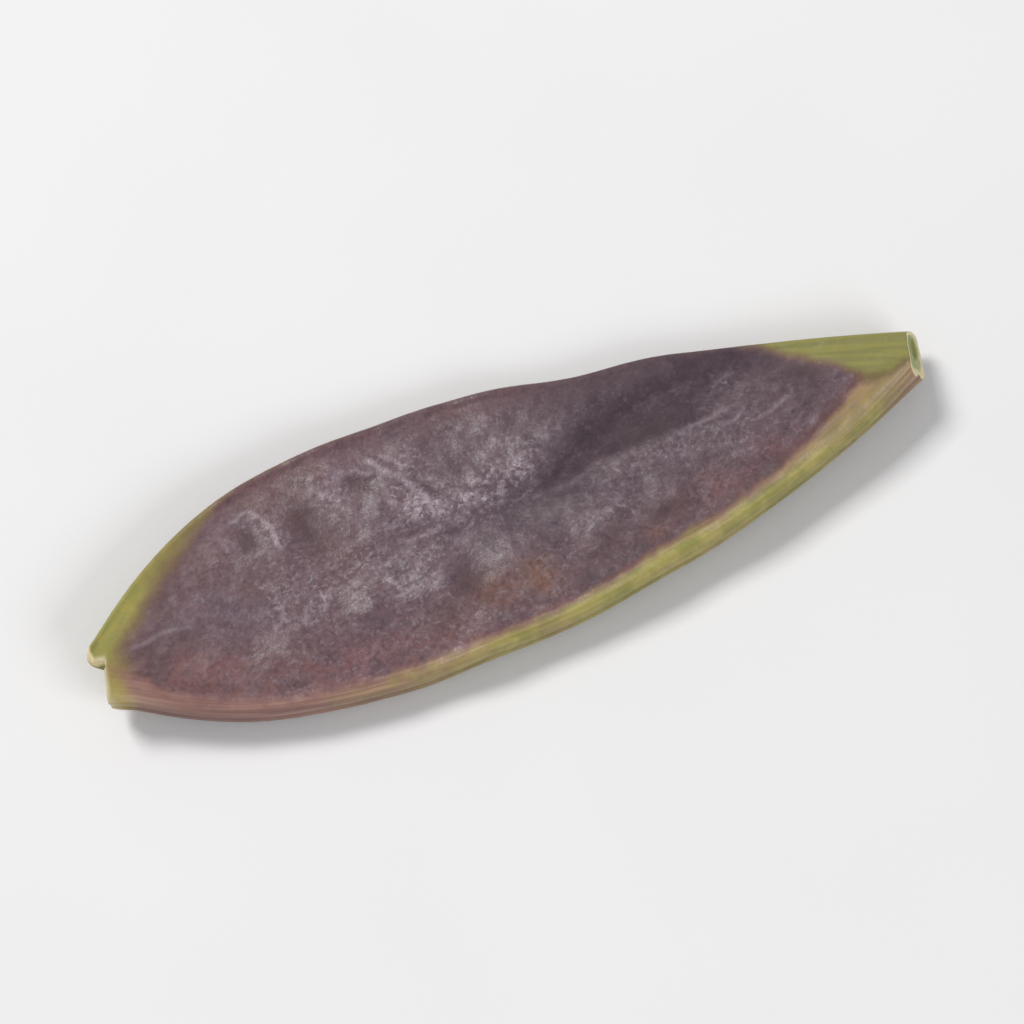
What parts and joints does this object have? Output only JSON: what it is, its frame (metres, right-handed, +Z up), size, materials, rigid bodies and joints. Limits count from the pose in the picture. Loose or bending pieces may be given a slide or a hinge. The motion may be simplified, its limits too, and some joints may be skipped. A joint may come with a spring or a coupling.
{
  "type": "snow pea pod",
  "caption": "Flat purple snow pea pod with a green grooved seam, faint pea swellings and trimmed ends, lying on its side.",
  "frame": {"origin": "on the surface that the pod lies on, under the middle of its box", "axes": "+X along the pod from the trimmed flower end to the trimmed stem end, -Y towards the thick ventral seam, +Z up through the pod's thickness"},
  "size_m": [0.0734, 0.022, 0.0047],
  "materials": {
    "pod_skin": "satin plant skin, purple-brown with a greyish waxy bloom, yellow-green along the seams and at both ends"
  },
  "bodies": {
    "root": {"pod": "pod_skin"}
  },
  "joints": []
}
